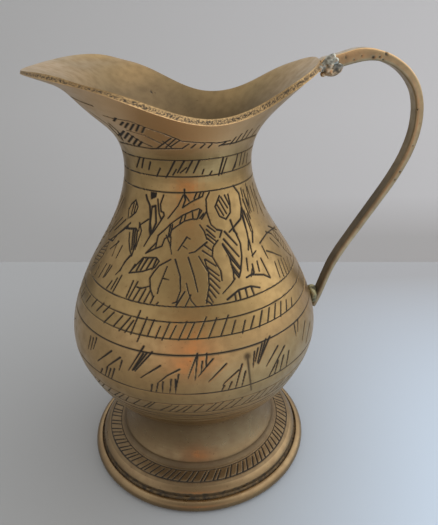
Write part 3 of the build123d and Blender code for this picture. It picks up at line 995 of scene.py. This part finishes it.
def worn_metal(name, tones, roughness, dent, grain, turned=True, patch=wide_patches):
    """Old metal: two tones in soft patches, tarnish, an uneven polish by hand, cut lines filled dark, and the
    painted shade and painted highlights that its vertices carry.
    """
    material, shading, inputs = new_material(name)
    dull, bright, tarnish = tones
    mottle = shading.noise(*mottle_noise)
    cut, bare = shading.attribute("cut"), shading.attribute("bare")
    base = shading.ramp(shading.noise(patch, patch_detail), tone_turn, dull, bright)
    base = shading.mix(shading.ramp(mottle, mottle_turn, grey(mottle_share), grey(0)), base, tarnish)
    specks = shading.ramp(shading.noise(*speck_noise), speck_turn, grey(speck_share), grey(0))
    base = shading.mix(specks, base, tuple(speck_darkness * c for c in tarnish))
    base = shading.mix(bare, base, bare_brass)
    shading.put(inputs["Base Color"], shading.mix(cut, base, soot_and_shade))
    shine = shading.ramp(mottle, shine_turn, grey(roughness + duller), grey(roughness - shinier))
    shine = shading.mix(bare, shine, grey(bare_roughness))
    shading.put(inputs["Roughness"], shading.mix(cut, shine, grey(soot_roughness)))
    shading.put(inputs["Metallic"], shading.ramp(cut, soot_turn, grey(1), grey(soot_metallic)))
    dents = shading.bump(dent, shading.noise(*dent_noise))
    scratches = shading.noise(*scratch_noise, turned_scratches if turned else drawn_scratches)
    shading.put(inputs["Normal"], shading.bump(grain, scratches, {"Normal": dents}))
    return material


def old_brass():
    """Olive brass of the shoulder, neck and flare."""
    tones = (0.325, 0.23, 0.1), (0.485, 0.32, 0.14), (0.18, 0.115, 0.05)
    return worn_metal("old_brass", tones, roughness=0.34, dent=0.026 * mm, grain=0.006 * mm)


def belly_brass():
    """Warmer brass of the bowl, with one brown stain where the attribute called stain says."""
    tones = (0.35, 0.243, 0.11), (0.53, 0.342, 0.158), (0.19, 0.118, 0.055)
    material = worn_metal("belly_brass", tones, roughness=0.34, dent=0.035 * mm, grain=0.01 * mm)
    shading = Shading(material)
    base = shading.tree.nodes["Principled BSDF"].inputs["Base Color"]
    shading.put(base, shading.mix(shading.attribute("stain"), base.links[0].from_socket, stain_colour))
    return material


def foot_brass():
    """Duller brass of the foot."""
    tones = (0.23, 0.16, 0.085), (0.35, 0.245, 0.13), (0.2, 0.12, 0.07)
    return worn_metal("foot_brass", tones, roughness=0.32, dent=0.03 * mm, grain=0.01 * mm)


def strap_metal():
    """Paler cast brass of the handle, filed along its length."""
    tones = (0.3, 0.224, 0.128), (0.5, 0.382, 0.222), (0.1, 0.08, 0.06)
    return worn_metal("strap_metal", tones, roughness=0.34, dent=0.1 * mm, grain=0.03 * mm, turned=False)


def grey_braze():
    """Silvery brazing metal with brassy patches, at the rim."""
    tones = (0.26, 0.245, 0.19), (0.56, 0.56, 0.49), (0.12, 0.11, 0.08)
    finish = {"roughness": 0.3, "dent": 0.1 * mm, "grain": 0.03 * mm}
    return worn_metal("grey_braze", tones, **finish, turned=False, patch=small_patches)


def green_braze():
    """Dull greenish brazing metal, at the belly and inside."""
    tones = (0.26, 0.25, 0.15), (0.5, 0.44, 0.25), (0.08, 0.09, 0.05)
    return worn_metal("green_braze", tones, roughness=0.45, dent=0.2 * mm, grain=0.05 * mm, turned=False)


def stage_material():
    """Matt grey with painted light: a little brighter and bluer to the right, brightest at the near right;
    the wall in its own tone, brighter to the right, with a painted shadow low on the right and painted shade
    far to the left.
    """
    material, shading, inputs = new_material("pale_table")
    position = shading.add("ShaderNodeNewGeometry").outputs["Position"]
    x, y, z = shading.add("ShaderNodeSeparateXYZ", {"Vector": position}).outputs
    away = shading.between(y, table_turns_far)
    left = shading.mix(away, table_near_left, table_far_left)
    right = shading.mix(away, table_lit_near_right, table_far_right)
    table = shading.mix(shading.between(x, table_turns_pale, interpolation_type="SMOOTHSTEP"), left, right)
    table = shading.mix(shading.between(x, table_turns_plain), table, table_far_right)
    # Painted shadow low on the right of the wall, and painted shade far to its left.
    wall = shading.mix(shading.between(z, wall_shade_heights), wall_shadow_low_right, wall_right)
    wall = shading.mix(shading.between(x, wall_turns_pale), wall_left, wall)
    wall = shading.mix(shading.between(x, wall_turns_dark), wall_painted_shade_left, wall)
    beyond = shading.calculate("ShaderNodeMath", "GREATER_THAN", y, table_end)
    shading.put(inputs["Base Color"], shading.mix(beyond, table, wall))
    inputs["Roughness"].default_value = stage_roughness
    return material


# Pieces


def add_object(name, data):
    """An object of a mesh, camera or light, in the scene."""
    piece = bpy.data.objects.new(name, data)
    bpy.context.scene.collection.objects.link(piece)
    return piece


def stand_for(piece, node, material):
    """Puts a finished piece in the place of a CAD node."""
    piece.data.materials.clear()
    piece.data.materials.append(material)
    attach(piece, "root")
    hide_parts(node)


def dress(node, material):
    """Gives a CAD node its material."""
    for slot in nodes[node].material_slots:
        slot.material = material


def write_values(mesh, **layers):
    """Writes values for the vertices, each layer under its own name."""
    for name, values in layers.items():
        layer = mesh.attributes.new(name, "FLOAT", "POINT")
        layer.data.foreach_set("value", values.reshape(-1).astype(np.float32))


def vertex_arrays(mesh):
    """Places and normals of a mesh's vertices."""
    places, normals = np.zeros((2, len(mesh.vertices) * 3))
    mesh.vertices.foreach_get("co", places)
    mesh.vertices.foreach_get("normal", normals)
    return places.reshape(-1, 3), normals.reshape(-1, 3)


def even_copy(name, node, voxel, smoothing, blobs=()):
    """An object with an even, softened mesh of a CAD node's form, with round blobs melted into it."""
    work = bmesh.new()
    work.from_mesh(nodes[node].data)
    for centre, radius in blobs:
        place = Matrix.Translation(centre)
        bmesh.ops.create_icosphere(work, subdivisions=blob_fineness, radius=radius, matrix=place)
    mesh = bpy.data.meshes.new(name)
    work.to_mesh(mesh)
    work.free()
    piece = add_object(name, mesh)
    even = piece.modifiers.new("even", "REMESH")
    even.mode = "VOXEL"
    even.voxel_size = voxel
    graph = bpy.context.evaluated_depsgraph_get()
    piece.data = bpy.data.meshes.new_from_object(piece.evaluated_get(graph))
    piece.modifiers.clear()
    work = bmesh.new()
    work.from_mesh(piece.data)
    axes = {"use_axis_x": True, "use_axis_y": True, "use_axis_z": True}
    for _ in range(smoothing):
        bmesh.ops.smooth_vert(work, verts=work.verts, factor=smoothing_share, **axes)
    work.to_mesh(piece.data)
    work.free()
    return piece


def finish_vertices(mesh, places, **layers):
    """Moves a mesh's vertices, writes their values and shades it smooth."""
    mesh.vertices.foreach_set("co", places.reshape(-1))
    write_values(mesh, **layers)
    mesh.update()
    mesh.shade_smooth()


def worn_strap(material):
    """The strap with filed, slightly rounded edges, thicker at its root, and with casting pits; painted shade
    on its inner face, and a painted highlight on its worn top edges.
    """
    piece = even_copy("filed_strap", "handle", strap_voxel, strap_smoothing)
    places, normals = vertex_arrays(piece.data)
    pitted = np.zeros(len(places))
    for centre, radius in spots(strap_pit_pixels, ("handle",)):
        gap = np.linalg.norm(places - np.array(centre), axis=1)
        pitted = np.maximum(pitted, unit(strap_pit_edge - gap / radius))
    marks = np.array([noise.noise(Vector(place * file_mark_grain)) for place in places])
    moved = places + normals * (file_mark_depth * marks - strap_pit_depth * pitted)[:, None]
    upward = unit((normals[:, 2] - root_tilt) * root_sharpness) * (places[:, 2] > root_low)
    moved[:, 2] += upward * np.interp(places[:, 0], root_stations, root_rises)
    # Worn edges, kept only where they face upwards: partly wear, partly a painted highlight.
    edge = unit(edge_full - np.abs(np.abs(normals[:, 1]) - edge_tilt) / edge_spread)
    rubbed_and_highlit = edge * unit((normals[:, 2] - top_tilt) * top_sharpness)
    # Painted shade on the inner face, which faces the jug, strongest low down.
    low_down = unit((strap_shade_height - places[:, 2]) / strap_shade_fade)
    inner_face_shade = strap_inner_painted_shade * unit(-inner_sharpness * normals[:, 0]) * low_down
    finish_vertices(piece.data, moved, cut=np.maximum(pitted, inner_face_shade), bare=rubbed_and_highlit * strap_rubbing_and_highlight)
    stand_for(piece, "handle", material)


def lumpy_braze(name, node, material, blobs=(), brassy_height=0):
    """A lump of brazing metal as it froze: the CAD lump and its splashes, roughened in two sizes."""
    splashes = spots(blobs, (node, "handle", "upper_body"))
    piece = even_copy(name, node, braze_voxel, braze_smoothing, splashes)
    places, normals = vertex_arrays(piece.data)
    grains = (lump_grain, fine_lump_grain)
    coarse, fine = (np.array([noise.noise(Vector(place) * grain) for place in places]) for grain in grains)
    lumps = coarse + fine_lump_share * fine
    moved = places + normals * ((lumps - lump_level) * braze_swell)[:, None]
    brassy = np.clip((brassy_height - places[:, 2]) / brassy_fade + lumps, 0, most_brassy)
    finish_vertices(piece.data, moved, cut=np.clip(-lumps * lump_soot, 0, most_lump_soot), bare=brassy)
    stand_for(piece, node, material)


def paint_stain(piece):
    """Marks the brown drop on the belly and its thin run as a vertex attribute."""
    x0, y0, x1, y1 = stain_pixels
    points = vertex_arrays(piece.data)[0]
    value = np.zeros(len(points))
    for share in np.linspace(0, 1, stain_steps):
        place = np.array(seen(x0 + (x1 - x0) * share, y0 + (y1 - y0) * share))
        gap = np.linalg.norm(points - place, axis=1)
        half = stain_run_width * (1 - stain_thinning * share) if share > 0 else stain_drop_width
        value = np.maximum(value, unit(stain_edge - gap / half) * stain_strength)
    write_values(piece.data, stain=value)


# Stage and light


def on_table(x, y):
    """The place on the table, at height zero, that a pixel of the photograph shows."""
    way = pixel_ray(x, y)
    return camera_place - way * (camera_place.z / way.z)


def make_stage():
    """A pale table and, beyond its far edge as the photograph shows it, a plain wall."""
    left, right = on_table(*table_edge_pixels[:2]), on_table(*table_edge_pixels[2:])
    along = (right - left).normalized()
    back = Vector((-along.y, along.x, 0))
    middle = (left + right) / 2
    verts, faces = [], []
    for strip in (table_profile, wall_profile):
        for y, z in strip:
            for side in (-1, 1):
                verts.append(middle + along * side * stage_half_width + back * y + Vector((0, 0, z)))
        first = len(verts) - 4
        faces.append((first, first + 1, first + 3, first + 2))
    mesh = bpy.data.meshes.new("table_and_wall")
    mesh.from_pydata(verts, [], faces)
    mesh.materials.append(stage_material())
    add_object("table_and_wall", mesh)


def make_window():
    """A large soft window, up on the right."""
    data = bpy.data.lights.new("window", "AREA")
    data.shape = "RECTANGLE"
    data.size, data.size_y = window_size
    data.energy = window_power
    data.color = window_colour
    light = add_object("window", data)
    light.location = window_place
    facing = Vector(window_target) - Vector(window_place)
    light.rotation_euler = facing.to_track_quat("-Z", "Y").to_euler()


def make_world():
    """A plain room: brighter towards one side, darker towards the other, with patches that metal reflects."""
    world = bpy.data.worlds.new("room")
    bpy.context.scene.world = world
    shading = Shading(world)
    way = shading.add("ShaderNodeTexCoord").outputs["Generated"]
    path = shading.add("ShaderNodeLightPath").outputs
    lean = shading.calculate("ShaderNodeVectorMath", "DOT_PRODUCT", way, room_light_way)
    colour = shading.mix(shading.between(lean, room_fade), room_dark, room_pale)
    for middle, edges, tint in room_patches:
        near = shading.calculate("ShaderNodeVectorMath", "DOT_PRODUCT", way, middle)
        patch = shading.between(near, edges)
        reflected = shading.calculate("ShaderNodeMath", "MULTIPLY", patch, path["Is Glossy Ray"])
        colour = shading.mix(reflected, colour, tint)
    colour = shading.mix(path["Is Camera Ray"], colour, wall_left)
    shading.put(shading.tree.nodes["Background"].inputs["Color"], colour)


make_camera()
trees = {node: tree_of(node) for node in nodes}
seam_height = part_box("upper_body")[0].z
upper = upper_skin()
lower = turned_skin("lower_body", lambda radius, height: fine_step if height > coarse_below else coarse_step)
foot = turned_skin("foot", lambda radius, height: fine_step)

cut_rings()
cut_hatch_bands()
cut_tick_band()
cut_floral_band()
cut_neck()
cut_flange()
soil_foot_and_shade_cove()
roughen_rim()
shade_mouth_inside()
paint_flare_sheen_and_wear()
pit_mouth()

upper_object = upper.mesh("engraved_upper_body")
bowl_object = lower.mesh("engraved_bowl", closed=False)
foot_object = foot.mesh("turned_foot")
paint_stain(bowl_object)
stand_for(upper_object, "upper_body", old_brass())
stand_for(bowl_object, "lower_body", belly_brass())
stand_for(foot_object, "foot", foot_brass())
inner_braze = green_braze()
lumpy_braze("rim_braze_lump", "handle_rim_braze", grey_braze(), rim_splash_pixels, rim_brassy_height)
lumpy_braze("belly_braze_lump", "handle_belly_braze", inner_braze)
worn_strap(strap_metal())
dress("girth_braze", inner_braze)
dress("foot_braze", inner_braze)

make_stage()
make_world()
make_window()
bpy.context.scene.view_settings.view_transform = "Standard"
